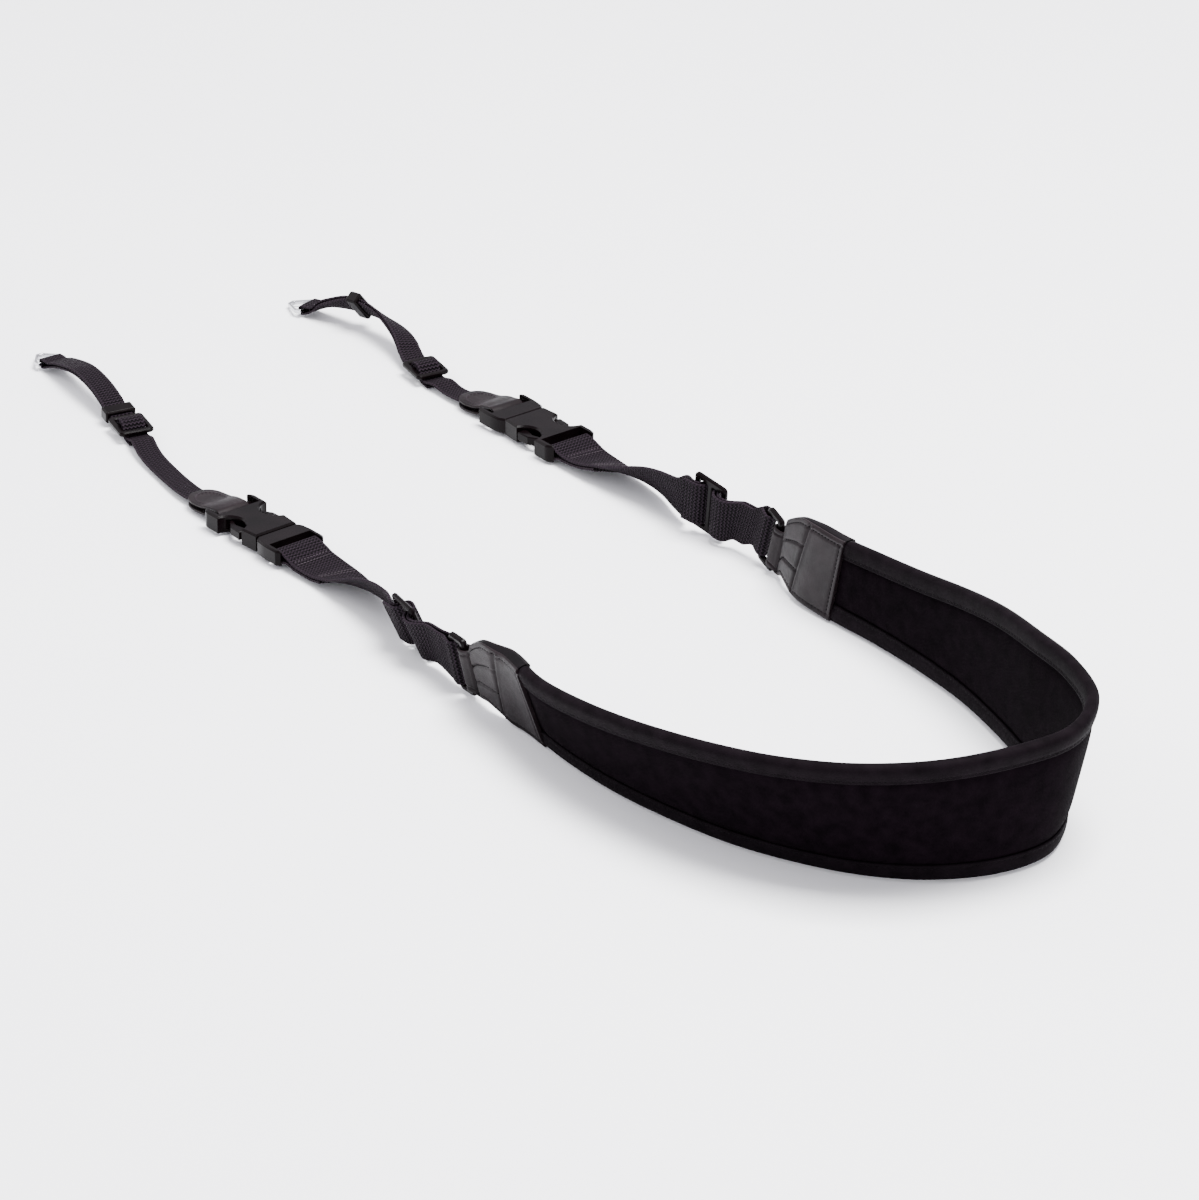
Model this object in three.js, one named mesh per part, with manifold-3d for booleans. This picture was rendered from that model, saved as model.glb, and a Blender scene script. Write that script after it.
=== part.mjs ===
// A camera neck strap lying on a flat surface, in millimetres, +Z up.
// A contoured foam neck pad stands on its lower edge in a U. From each of its ends run, in order: a
// leather end tab, a loop ring, doubled webbing with a tri-glide, a side-release buckle, a leather
// patch, narrow webbing with a slider and a keeper, and a ring for the camera's lug.
// One route runs through the whole strap, from the left lug ring round the pad to the right one.
// Seen from the pad's end, the left arm lies at -Y and the right arm at +Y.
import * as THREE from "three";
import { mergeVertices } from "three/addons/utils/BufferGeometryUtils.js";
import Module from "manifold-3d";

const wasm = await Module();
wasm.setup();

// Driving dimensions
const GAP = 0.35; // clearance between touching pieces
const WIDE = { width: 22, thickness: 1.2 };
const NARROW = { width: 11, thickness: 1 };
const LEATHER = 1.2;
const PAD = { thickness: 5.4, margin: 3, tabHalf: 1.7, taper: 5, step: 13 };
const PAD_END = [32.5, 42, 51.5]; // the pad's sections in a tab, from the loop ring's middle
const BINDING = { wall: 1.1, depth: 9, from: 60.6 };
const RING = { length: 12.5, width: 29, thickness: 3, bar: 3, slotWidth: 23, bevel: 0.85 };
const TRIGLIDE = { length: 19.6, width: 29, thickness: 2.4, bar: 2.8, slotWidth: 22.8, bevel: 0.6 };
const SLIDER = { length: 17.64, width: 17, thickness: 2.2, bar: 2.52, slotWidth: 11.7, bevel: 0.55 };
const SLIDER_SCALE = SLIDER.length / TRIGLIDE.length;
const KEEPER = { length: 7, width: 15, height: 6, slotWidth: 12.2, slotHeight: 3.4 };
const KEEPER_AT = { left: { a: -15.5, q: -1.2 }, right: { a: -66, q: 0 } };
const LUG_RING = { base: 0.8, shoulder: -3.2, tip: -12.2, half: 7.6, tipHalf: 1.8, wire: 1.6, thickness: 2.2 };
const LUG_RING_TILT = 7.4; // degrees that a lug ring dips from the webbing's loop to its tip
const BUCKLE = {
  barToBar: 49.5, barRadius: 1.5, slotWidth: 22.6, socketSlot: 6.5, plugSlot: 44.2,
  end: 4, earHalf: 13.75, earRadius: 5, mouthHalf: 12, mouth: 34, thickness: 8.6, bevel: 0.8,
  cutCentre: 16.5, cutRadius: 8,
  cavityHalf: 10.2, cavityHeight: 5, cavityFrom: 9.5,
  plugFrom: 34.4, plugHalf: 13.4, plugNeck: 10.8, plugEnd: 53.3, plugThickness: 7.6,
  prongThickness: 4.2, guideHalf: 1.4, guideFrom: 15,
};
const STEP = 8; // longest step of a swept piece along the route

// One prong of the buckle's plug, x from the socket's bar, y from the middle.
const PRONG = [
  { x: 36, y: 9.6 }, { x: 23.4, y: 9.6 }, { x: 22.9, y: 12.4 }, { x: 16, y: 12 }, { x: 10.8, y: 8.8 },
  { x: 10.8, y: 6.8 }, { x: 16, y: 8.6 }, { x: 23, y: 7 }, { x: 36, y: 7 },
];

const BLACK_WEBBING = { color: 0x17151a, roughness: 0.9, metalness: 0 };
const NEOPRENE = { color: 0x121015, roughness: 0.85, metalness: 0 };
const BINDING_TAPE = { color: 0x1a171b, roughness: 0.8, metalness: 0 };
const BLACK_LEATHER = { color: 0x2a2628, roughness: 0.5, metalness: 0 };
const BLACK_PLASTIC = { color: 0x221e20, roughness: 0.4, metalness: 0 };
const STEEL = { color: 0xc8c8c8, roughness: 0.2, metalness: 1 };

// The route's stations. x, y, z: middle of the strap. roll: 0 lies flat, 90 stands on its lower
// edge, 180 lies flat the other way up. skew: how far the upper edge runs ahead, in degrees.
const LEFT_ARM = [
  { x: -14, y: -71, z: 1.6, roll: 0 },
  { at: "left_end", x: -2, y: -71.5, z: 2.75, roll: 0 },
  { x: 14, y: -72.5, z: 7.5, roll: 0 },
  { x: 32, y: -74.5, z: 11, roll: 0 },
  { x: 50, y: -77, z: 10, roll: 0 },
  { x: 68, y: -80, z: 6, roll: 0 },
  { at: "left_slider", x: 84, y: -83, z: 4.75, roll: 0 },
  { x: 97, y: -86.3, z: 4.5, roll: 0 },
  { x: 112, y: -91, z: 2.4, roll: 0 },
  { x: 130, y: -94.5, z: 1.7, roll: 0 },
  { x: 156, y: -98.5, z: 2.5, roll: 0 },
  { x: 170, y: -98.2, z: 3, roll: 0 },
  { at: "left_bar_end", x: 188, y: -97.8, z: 4.7, roll: 0 },
  { at: "left_bar_pad", x: 237.5, y: -96, z: 4.7, roll: 0 },
  { x: 251, y: -95.5, z: 3, roll: 0 },
  { x: 266, y: -95, z: 2.4, roll: 6 },
  { x: 282, y: -95.8, z: 5, roll: 22 },
  { x: 298, y: -98.2, z: 8.8, roll: 42 },
  { x: 314, y: -101.5, z: 12, roll: 56 },
  { x: 330, y: -105.5, z: 13.4, roll: 64 },
  { at: "left_triglide", x: 345, y: -109, z: 13.9, roll: 67, skew: 2 },
  { x: 366, y: -111.8, z: 14.1, roll: 73, skew: 3 },
  { at: "left_ring", x: 388, y: -113.8, z: 14.6, roll: 78, skew: 4, width: 22 },
  { x: 418, y: -117.5, z: 20.4, roll: 74, skew: 4, width: 39 },
];

// The pad's stretch. x, y: middle of the pad. lean: how far its upper edge leans over, in degrees.
const PAD_ROWS = [
  { x: 432.5, y: -116.6, lean: 17, skew: 4, width: 42 },
  { x: 461.4, y: -121.3, lean: 21, skew: 3, width: 44.5 },
  { x: 495.2, y: -122.9, lean: 21.5, skew: 2, width: 49 },
  { x: 529.6, y: -120.2, lean: 22, width: 54 },
  { x: 564.3, y: -113.5, lean: 22, width: 59 },
  { x: 594.9, y: -101.8, lean: 22, width: 62.5 },
  { x: 619.6, y: -86.7, lean: 20.5, width: 65 },
  { x: 639.7, y: -64.3, lean: 17, width: 66 },
  { x: 651.3, y: -35.5, lean: 13, width: 66 },
  { x: 651.9, y: -9.2, lean: 12.5, width: 66 },
  { x: 637.9, y: 12.5, lean: 11, width: 66 },
  { x: 613.7, y: 26.5, lean: 6, width: 65.5 },
  { x: 583.4, y: 36.3, lean: 2, width: 63 },
  { x: 552.1, y: 45.5, lean: 1, width: 58.5 },
  { x: 520, y: 52.5, lean: 0, skew: -3, width: 52.5 },
  { x: 488, y: 56, lean: 0, skew: -6, width: 47 },
  { x: 458, y: 57.4, lean: 1, skew: -9, width: 43.5 },
  { x: 431, y: 57.3, lean: 3, skew: -12, width: 41.5 },
];

const RIGHT_ARM = [
  { x: 401, y: 58.3, z: 20.3, roll: 86, skew: -14, width: 39 },
  { at: "right_ring", x: 374, y: 65, z: 15.2, roll: 87, skew: -20, width: 22 },
  { x: 350, y: 65.5, z: 15.2, roll: 92, skew: -17 },
  { at: "right_triglide", x: 332, y: 63.2, z: 15.7, roll: 95, skew: -13 },
  { x: 315, y: 61.8, z: 13.4, roll: 102, skew: -6 },
  { x: 300, y: 63, z: 12.2, roll: 113 },
  { x: 286, y: 64.8, z: 10.2, roll: 129 },
  { x: 271, y: 65.3, z: 7.5, roll: 147 },
  { x: 256, y: 65.5, z: 4.8, roll: 162 },
  { x: 241, y: 65.2, z: 3.7, roll: 174 },
  { at: "right_bar_pad", x: 225, y: 65, z: 4.7, roll: 180 },
  { at: "right_bar_end", x: 175.5, y: 64.6, z: 4.7, roll: 180 },
  { x: 160, y: 62.8, z: 3, roll: 180 },
  { x: 147.5, y: 61.3, z: 2.5, roll: 180 },
  { x: 138, y: 61.3, z: 2.2, roll: 180 },
  { x: 126, y: 61.9, z: 4.4, roll: 180 },
  { at: "right_slider", x: 115, y: 62.8, z: 4.75, roll: 180 },
  { x: 100, y: 66, z: 6, roll: 176 },
  { x: 84, y: 70.5, z: 9.5, roll: 160 },
  { x: 66, y: 72, z: 12, roll: 138 },
  { x: 48, y: 70, z: 12, roll: 128 },
  { x: 34, y: 66, z: 8.5, roll: 150 },
  { at: "right_end", x: 20, y: 62, z: 2.75, roll: 180 },
  { x: 8, y: 59, z: 1.6, roll: 180 },
];

const radians = THREE.MathUtils.degToRad;
const UP = new THREE.Vector3(0, 0, 1);

// A row of the pad as a station of the route: its lower edge rests on the surface.
function padStation(row) {
  const lean = radians(row.lean);
  const half = 0.5 * row.width * Math.cos(radians(row.skew ?? 0));
  const edge = PAD.margin / 2; // flat half thickness of the bound edge
  return { ...row, z: half * Math.cos(lean) + edge * Math.sin(lean), roll: 90 - row.lean };
}

const stations = [...LEFT_ARM, ...PAD_ROWS.map(padStation), ...RIGHT_ARM];
const spine = new THREE.CatmullRomCurve3(stations.map((r) => new THREE.Vector3(r.x, r.y, r.z)));
const shape = new THREE.CatmullRomCurve3(
  stations.map((r) => new THREE.Vector3(r.roll, r.skew ?? 0, r.width ?? WIDE.width)),
  false,
  "catmullrom",
);

// Distances along the spine at a fine division, to turn a distance into the curves' own parameter.
const DIVISIONS = (stations.length - 1) * 40;
const travelled = [0];
for (let i = 1; i <= DIVISIONS; i++) {
  const from = spine.getPoint((i - 1) / DIVISIONS);
  travelled.push(travelled[i - 1] + from.distanceTo(spine.getPoint(i / DIVISIONS)));
}

function distanceOf(label) {
  const index = stations.findIndex((r) => r.at === label);
  return travelled[Math.round((index / (stations.length - 1)) * DIVISIONS)];
}

function parameterAt(distance) {
  let low = 0;
  let high = DIVISIONS;
  while (high - low > 1) {
    const middle = (low + high) >> 1;
    if (travelled[middle] > distance) high = middle;
    else low = middle;
  }
  const share = (distance - travelled[low]) / (travelled[high] - travelled[low]);
  return (low + share) / DIVISIONS;
}

// A strap's axes from its direction, roll and skew: along it, across its width towards its lower
// edge, and out of its face.
function axesOf(direction, rollDegrees, skewDegrees) {
  const roll = radians(rollDegrees);
  const skew = radians(skewDegrees);
  const level = UP.clone().cross(direction).normalize();
  const rise = direction.clone().cross(level);
  const straight = level.multiplyScalar(Math.cos(roll)).addScaledVector(rise, -Math.sin(roll));
  const face = direction.clone().cross(straight);
  const across = straight.multiplyScalar(Math.cos(skew)).addScaledVector(direction, -Math.sin(skew));
  return { along: across.clone().cross(face), across, face };
}

function freeFrameAt(distance) {
  const parameter = parameterAt(distance);
  const values = shape.getPoint(parameter);
  return {
    centre: spine.getPoint(parameter),
    ...axesOf(spine.getTangent(parameter), values.x, values.y),
    width: values.z,
  };
}

const SIDES = [
  { name: "left", towardsPad: 1 },
  { name: "right", towardsPad: -1 },
];

// Hard pieces hold the strap flat and straight for "reach" to either side of them.
const HOLDS = [
  { label: "end", reach: 3 },
  { label: "slider", reach: 10.5 },
  { label: "bar_end", reach: 4 },
  { label: "bar_pad", reach: 4 },
  { label: "triglide", reach: 11.5 },
  { label: "ring", reach: 9 },
];
const RELEASE = 8; // length over which the strap takes up its free shape again

const holds = SIDES.flatMap((side) => HOLDS.map(({ label, reach }) => {
  const distance = distanceOf(`${side.name}_${label}`);
  const frame = freeFrameAt(distance);
  if (label.startsWith("bar")) {
    const ends = ["bar_end", "bar_pad"].map((name) =>
      stations.find((r) => r.at === `${side.name}_${name}`));
    const direction = new THREE.Vector3(ends[1].x, ends[1].y, ends[1].z).sub(ends[0])
      .multiplyScalar(side.towardsPad).normalize();
    Object.assign(frame, axesOf(direction, ends[0].roll, 0));
  }
  return { distance, reach, frame };
}));

// The strap's frame at a distance along the route. "width" is the pad stretch's width there.
function frameAt(distance) {
  const free = freeFrameAt(distance);
  const hold = holds.find((h) => Math.abs(distance - h.distance) < h.reach + RELEASE);
  if (!hold) return free;
  const away = distance - hold.distance;
  const share = THREE.MathUtils.smoothstep(Math.abs(away), hold.reach, hold.reach + RELEASE);
  const centre = hold.frame.centre.clone().addScaledVector(hold.frame.along, away);
  const across = hold.frame.across.clone().lerp(free.across, share).normalize();
  const face = hold.frame.face.clone().lerp(free.face, share);
  face.addScaledVector(across, -face.dot(across)).normalize();
  return {
    centre: centre.lerp(free.centre, share),
    along: across.clone().cross(face),
    across,
    face,
    width: free.width,
  };
}

// Each arm is built from the same tables of places, measured from a label of its side: "a" runs
// towards the pad, "q" out of the face that is up where the arm lies flat, "w" is the width.
function place(side, label, { a, q, w }) {
  return {
    s: distanceOf(`${side.name}_${label}`) + side.towardsPad * a,
    q: side.towardsPad * q,
    w,
  };
}

const placed = (side, label, rows) => rows.map((row) => place(side, label, row));

// Both layers of a strap folded round a bar at a: rows lead up to the bar on the q > 0 side, and
// the same rows lead away below it. The fold's outermost point lies at a + turn * radius.
function folded(side, label, rows, a, radius, turn, steps = 8) {
  const { w } = rows[rows.length - 1];
  const bend = Array.from({ length: steps + 1 }, (_, i) => {
    const angle = (Math.PI * i) / steps;
    return { a: a + turn * radius * Math.sin(angle), q: radius * Math.cos(angle), w };
  });
  const below = [...rows].reverse().map((row) => ({ ...row, q: -row.q }));
  return placed(side, label, [...rows, ...bend, ...below]);
}

// A closed solid through rings of points that turn anticlockwise about the sweep's direction.
function skin(rings, outline) {
  const count = rings[0].length;
  const positions = rings.flat().flatMap((p) => [p.x, p.y, p.z]);
  const faces = [];
  for (let i = 0; i + 1 < rings.length; i++) {
    for (let k = 0; k < count; k++) {
      const a = i * count + k;
      const b = i * count + ((k + 1) % count);
      faces.push(a, b, b + count, a, b + count, a + count);
    }
  }
  const last = (rings.length - 1) * count;
  for (const [a, b, c] of THREE.ShapeUtils.triangulateShape(outline, [])) {
    faces.push(a, c, b, last + a, last + b, last + c);
  }
  const geometry = new THREE.BufferGeometry();
  geometry.setAttribute("position", new THREE.Float32BufferAttribute(positions, 3));
  geometry.setIndex(faces);
  return geometry;
}

// A flat strap of one thickness through places {s, q, w}: distance, height off the route, width.
function strap(places, thickness) {
  const path = [places[0]];
  for (let i = 1; i < places.length; i++) {
    const from = places[i - 1];
    const to = places[i];
    const pieces = Math.ceil(Math.abs(to.s - from.s) / STEP);
    for (let k = 1; k < pieces; k++) {
      const mix = (key) => THREE.MathUtils.lerp(from[key], to[key], k / pieces);
      path.push({ s: mix("s"), q: mix("q"), w: mix("w") });
    }
    path.push(to);
  }
  const outline = [[-1, -1], [1, -1], [1, 1], [-1, 1]].map(([x, y]) => new THREE.Vector2(x, y));
  const headings = path.slice(1).map((p, i) =>
    new THREE.Vector2(p.s - path[i].s, p.q - path[i].q).normalize());
  const rings = path.map((p, i) => {
    const arriving = headings[Math.max(i - 1, 0)];
    const leaving = headings[Math.min(i, headings.length - 1)];
    const heading = arriving.clone().add(leaving).normalize();
    const half = thickness / 2 / Math.max(heading.dot(leaving), 0.7);
    const { centre, along, across, face } = frameAt(p.s);
    const middle = centre.clone().addScaledVector(face, p.q);
    const outOfFace = face.clone().multiplyScalar(heading.x).addScaledVector(along, -heading.y);
    return outline.map((corner) =>
      middle.clone()
        .addScaledVector(across, (corner.x * p.w) / 2)
        .addScaledVector(outOfFace, corner.y * half));
  });
  return skin(rings, outline);
}

// A solid with a section at each of the distances. sectionAt gives points (across, out of the face).
function sweep(distances, sectionAt) {
  const sections = distances.map((s) => {
    const frame = frameAt(s);
    return { frame, points: sectionAt(frame, s) };
  });
  const rings = sections.map(({ frame, points }) =>
    points.map((p) =>
      frame.centre.clone()
        .addScaledVector(frame.across, p.x)
        .addScaledVector(frame.face, p.y)));
  return skin(rings, sections[0].points);
}

function toSolid(geometry) {
  const bare = new THREE.BufferGeometry();
  bare.setAttribute("position", geometry.getAttribute("position"));
  if (geometry.index) bare.setIndex(geometry.index);
  const merged = mergeVertices(bare, 1e-4);
  return new wasm.Manifold(
    new wasm.Mesh({
      numProp: 3,
      vertProperties: merged.attributes.position.array,
      triVerts: new Uint32Array(merged.index.array),
    }),
  );
}

function toGeometry(solid) {
  const mesh = solid.getMesh();
  const geometry = new THREE.BufferGeometry();
  geometry.setAttribute("position", new THREE.BufferAttribute(mesh.vertProperties, 3));
  geometry.setIndex(new THREE.BufferAttribute(mesh.triVerts, 1));
  return geometry;
}

const join = (...parts) =>
  toGeometry(parts.map(toSolid).reduce((whole, part) => whole.add(part)));
const cut = (body, ...tools) =>
  toGeometry(tools.map(toSolid).reduce((rest, tool) => rest.subtract(tool), toSolid(body)));

function roundedRectangle(x0, y0, x1, y1, radius) {
  const outline = new THREE.Shape();
  outline.moveTo(x0 + radius, y0);
  outline.lineTo(x1 - radius, y0);
  outline.absarc(x1 - radius, y0 + radius, radius, -Math.PI / 2, 0);
  outline.lineTo(x1, y1 - radius);
  outline.absarc(x1 - radius, y1 - radius, radius, 0, Math.PI / 2);
  outline.lineTo(x0 + radius, y1);
  outline.absarc(x0 + radius, y1 - radius, radius, Math.PI / 2, Math.PI);
  outline.lineTo(x0, y0 + radius);
  outline.absarc(x0 + radius, y0 + radius, radius, Math.PI, 1.5 * Math.PI);
  return outline;
}

// An outline in the strap's plane, made into a plate about that plane, with chamfered edges.
function plate(outline, thickness, bevel = 0, curveSegments = 4) {
  const geometry = new THREE.ExtrudeGeometry(outline, {
    depth: thickness - 2 * bevel,
    bevelEnabled: bevel > 0,
    bevelThickness: bevel,
    bevelSize: bevel,
    bevelOffset: -bevel,
    bevelSegments: 1,
    curveSegments,
  });
  return geometry.translate(0, 0, bevel - thickness / 2);
}

const box = (x0, x1, y0, y1, z0, z1) =>
  new THREE.BoxGeometry(x1 - x0, y1 - y0, z1 - z0)
    .translate((x0 + x1) / 2, (y0 + y1) / 2, (z0 + z1) / 2);

const bar = (x, radius, length) =>
  new THREE.CylinderGeometry(radius, radius, length, 12).translate(x, 0, 0);

function polygon(points) {
  return new THREE.Shape(points.map(({ x, y }) => new THREE.Vector2(x, y)));
}

function loopRingGeometry() {
  const { length, width, thickness, bar: barWidth, slotWidth, bevel } = RING;
  const outline = roundedRectangle(-length / 2, -width / 2, length / 2, width / 2, 2.6);
  const slot = length / 2 - barWidth;
  outline.holes.push(roundedRectangle(-slot, -slotWidth / 2, slot, slotWidth / 2, 0.5));
  return plate(outline, thickness, bevel, 2);
}

// A slider: a flat frame with a centre bar, which leaves two slots.
function sliderGeometry({ length, width, thickness, bar: barWidth, slotWidth, bevel }) {
  const outline = roundedRectangle(-length / 2, -width / 2, length / 2, width / 2, 2.2);
  const near = barWidth / 2;
  const far = length / 2 - barWidth;
  for (const [from, to] of [[near, far], [-far, -near]]) {
    outline.holes.push(roundedRectangle(from, -slotWidth / 2, to, slotWidth / 2, 0.5));
  }
  return plate(outline, thickness, bevel, 2);
}

function keeperGeometry() {
  const { length, width, height, slotWidth, slotHeight } = KEEPER;
  const body = plate(roundedRectangle(-length / 2, -width / 2, length / 2, width / 2, 1), height, 0.8);
  const half = slotHeight / 2;
  return cut(body, box(-length, length, -slotWidth / 2, slotWidth / 2, -half, half));
}

// The buckle's two halves are drawn with x from the socket's bar towards the plug's bar.
function socketGeometry() {
  const b = BUCKLE;
  const outline = new THREE.Shape();
  const reach = Math.acos((b.earHalf - b.mouthHalf) / b.cutRadius);
  const quarterTurn = Math.PI / 2;
  const earX = b.earRadius - b.end;
  const earY = b.earHalf - b.earRadius;
  outline.moveTo(-b.end, -earY);
  outline.absarc(earX, -earY, b.earRadius, Math.PI, 3 * quarterTurn);
  outline.absarc(b.cutCentre, -b.earHalf, b.cutRadius, Math.PI, quarterTurn - reach, true);
  outline.lineTo(b.mouth, 0.8 - b.mouthHalf);
  outline.lineTo(b.mouth, b.mouthHalf - 0.8);
  outline.absarc(b.cutCentre, b.earHalf, b.cutRadius, reach - quarterTurn, -Math.PI, true);
  outline.absarc(earX, earY, b.earRadius, quarterTurn, Math.PI);
  const halfSlot = b.slotWidth / 2;
  const halfHeight = b.cavityHeight / 2;
  const body = cut(
    plate(outline, b.thickness, b.bevel, 7),
    box(b.cavityFrom, b.mouth + 1, -b.cavityHalf, b.cavityHalf, -halfHeight, halfHeight),
    box(-b.end - 1, b.socketSlot, -halfSlot, halfSlot, -b.thickness, b.thickness),
  );
  return join(body, bar(0, b.barRadius, b.slotWidth + 1));
}

function plugGeometry() {
  const b = BUCKLE;
  const halfSlot = b.slotWidth / 2;
  const side = [
    { x: b.plugFrom, y: b.plugNeck }, { x: b.plugFrom + 3, y: b.plugNeck + 2 },
    { x: b.plugFrom + 9, y: b.plugHalf }, { x: b.plugEnd - 2, y: b.plugHalf }, { x: b.plugEnd, y: 12 },
  ];
  const otherSide = [...side].reverse().map(({ x, y }) => ({ x, y: -y }));
  const base = cut(
    plate(polygon([...side, ...otherSide]), b.plugThickness, 0.8),
    box(b.plugSlot, b.plugEnd + 1, -halfSlot, halfSlot, -b.thickness, b.thickness),
  );
  const prongs = [1, -1].map((mirror) =>
    plate(polygon(PRONG.map(({ x, y }) => ({ x, y: mirror * y }))), b.prongThickness, 0.4));
  const guide = plate(
    roundedRectangle(b.guideFrom, -b.guideHalf, b.plugFrom + 2, b.guideHalf, 0.8),
    b.prongThickness,
    0.4,
  );
  return join(base, ...prongs, guide, bar(b.barToBar, b.barRadius, b.slotWidth + 1));
}

// A ring of flat wire in the form of a house: its base lies in the webbing's loop at x = 0.
function lugRingGeometry() {
  const { base, shoulder, tip, half, tipHalf, wire, thickness } = LUG_RING;
  const house = (inset) => polygon([
    { x: base - inset, y: inset - half }, { x: base - inset, y: half - inset },
    { x: shoulder, y: half - inset }, { x: tip + inset, y: tipHalf - 0.25 * inset },
    { x: tip + inset, y: 0.25 * inset - tipHalf }, { x: shoulder, y: inset - half },
  ]);
  const outline = house(0);
  outline.holes.push(house(wire));
  return plate(outline, thickness, 0.35);
}

const materials = new Map();
function materialOf(finish) {
  if (!materials.has(finish)) materials.set(finish, new THREE.MeshStandardMaterial(finish));
  return materials.get(finish);
}

const neckStrap = new THREE.Group();

function add(name, geometry, finish) {
  const mesh = new THREE.Mesh(geometry, materialOf(finish));
  mesh.name = name;
  neckStrap.add(mesh);
  return mesh;
}

// Sets a hard piece, modelled as x = a, y = across, z = q, on the route near a label of its side.
function setOn(object, side, label, { a, q } = { a: 0, q: 0 }) {
  const { centre, across, face } = frameAt(place(side, label, { a, q }).s);
  const z = face.clone().multiplyScalar(side.towardsPad);
  object.position.copy(centre).addScaledVector(z, q);
  object.setRotationFromMatrix(new THREE.Matrix4().makeBasis(across.clone().cross(z), across, z));
  return object;
}

// The neck pad: foam between two faces, thinner at its margins, where the bindings hold it, and at
// its ends, which lie in the tabs.
const padDistance = (s) => Math.min(s - distanceOf("left_ring"), distanceOf("right_ring") - s);

function padSection(frame, s) {
  const share = THREE.MathUtils.smoothstep(padDistance(s), BINDING.from, BINDING.from + PAD.taper);
  const thick = THREE.MathUtils.lerp(PAD.tabHalf, PAD.thickness / 2, share);
  const thin = PAD.margin / 2;
  const half = frame.width / 2 - BINDING.wall - GAP;
  const shoulder = frame.width / 2 - BINDING.depth - GAP - 0.6;
  const upper = [[half - 0.7, thin], [shoulder + 0.6, thin], [shoulder, thick]];
  const lower = [...upper].reverse();
  return [
    [half, -0.9], [half, 0.9], ...upper,
    ...lower.map(([x, y]) => [-x, y]), [-half, 0.9], [-half, -0.9],
    ...upper.map(([x, y]) => [-x, -y]), ...lower.map(([x, y]) => [x, -y]),
  ].map(([x, y]) => new THREE.Vector2(x, y));
}

// A binding: a channel of tape around one edge of the pad. edge is +1 at the lower edge.
function bindingSection(frame, edge) {
  const outer = frame.width / 2;
  const slot = PAD.margin / 2 + GAP;
  const high = slot + BINDING.wall;
  const open = outer - BINDING.depth;
  const inner = outer - BINDING.wall;
  return [
    [open, -high], [outer - 1.2, -high], [outer, 0.9 - high], [outer, high - 0.9],
    [outer - 1.2, high], [open, high], [open, slot], [inner, slot], [inner, -slot], [open, -slot],
  ].map(([x, y]) => new THREE.Vector2(edge * x, edge * y));
}

// The pad and its bindings share their sections, so that they stay clear of each other in the bend.
const boundFrom = distanceOf("left_ring") + BINDING.from;
const boundTo = distanceOf("right_ring") - BINDING.from;
const fullFrom = boundFrom + PAD.taper;
const fullTo = boundTo - PAD.taper;
const steps = Math.ceil((fullTo - fullFrom) / PAD.step);
const full = Array.from({ length: steps + 1 }, (_, i) => THREE.MathUtils.lerp(fullFrom, fullTo, i / steps));
const bound = [boundFrom, ...full, boundTo];
const padStations = [
  ...PAD_END.map((a) => distanceOf("left_ring") + a),
  ...bound,
  ...[...PAD_END].reverse().map((a) => distanceOf("right_ring") - a),
];
add("neck_pad", sweep(padStations, padSection), NEOPRENE);
for (const [name, edge] of [["upper", -1], ["lower", 1]]) {
  add(`pad_binding_${name}`, sweep(bound, (frame) => bindingSection(frame, edge)), BINDING_TAPE);
}

// The end tab: leather folded round the loop ring's bar, its two layers closed on the pad's end.
const TAB_FOLD = [
  { a: 31.5, q: 2.75, w: 39.5 }, { a: 28, q: 0.8, w: 38.5 }, { a: 20, q: 0.8, w: 31.5 },
  { a: 12, q: 0.8, w: 24.5 }, { a: 8.5, q: 1.5, w: 21.5 }, { a: 6.6, q: 2.2, w: 20.8 },
];
const TAB_EDGE = [{ a: 60, q: 2.75 }, { a: 51.5, q: 2.75 }, { a: 42, q: 2.75 }, { a: 36, q: 2.75 }];

function tabGeometry(side) {
  const edge = TAB_EDGE.map((row) => ({ ...row, w: frameAt(place(side, "ring", row).s).width - 0.2 }));
  const barAt = RING.length / 2 - RING.bar / 2;
  return strap(folded(side, "ring", [...edge, ...TAB_FOLD], barAt, 2.6, -1), LEATHER);
}

// How a doubled strap passes a slider: both layers under its outer bars and over its centre bar,
// the running layer outside the returning one. For a >= 0, and mirrored for a < 0.
const RUNNING = [
  { a: 0, q: 3.85 }, { a: 2.6, q: 3.4 }, { a: 4, q: 1.8 }, { a: 5, q: -0.5 },
  { a: 6.3, q: -2.3 }, { a: 8.4, q: -2.75 },
];
const RETURNING = [
  { a: 0, q: 2.2 }, { a: 1.4, q: 2.1 }, { a: 2.2, q: 1.3 }, { a: 2.6, q: 0.2 }, { a: 3, q: -1.4 },
  { a: 4.2, q: -3.1 }, { a: 6.2, q: -4 }, { a: 8.4, q: -4.3 },
];

// The rows through a slider, from its -a end to its +a end.
function woven(rows, scale, w) {
  const right = rows.map(({ a, q }) => ({ a: a * scale, q: q * scale, w }));
  const left = right.slice(1).reverse().map((row) => ({ ...row, a: -row.a }));
  return [...left, ...right];
}

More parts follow.
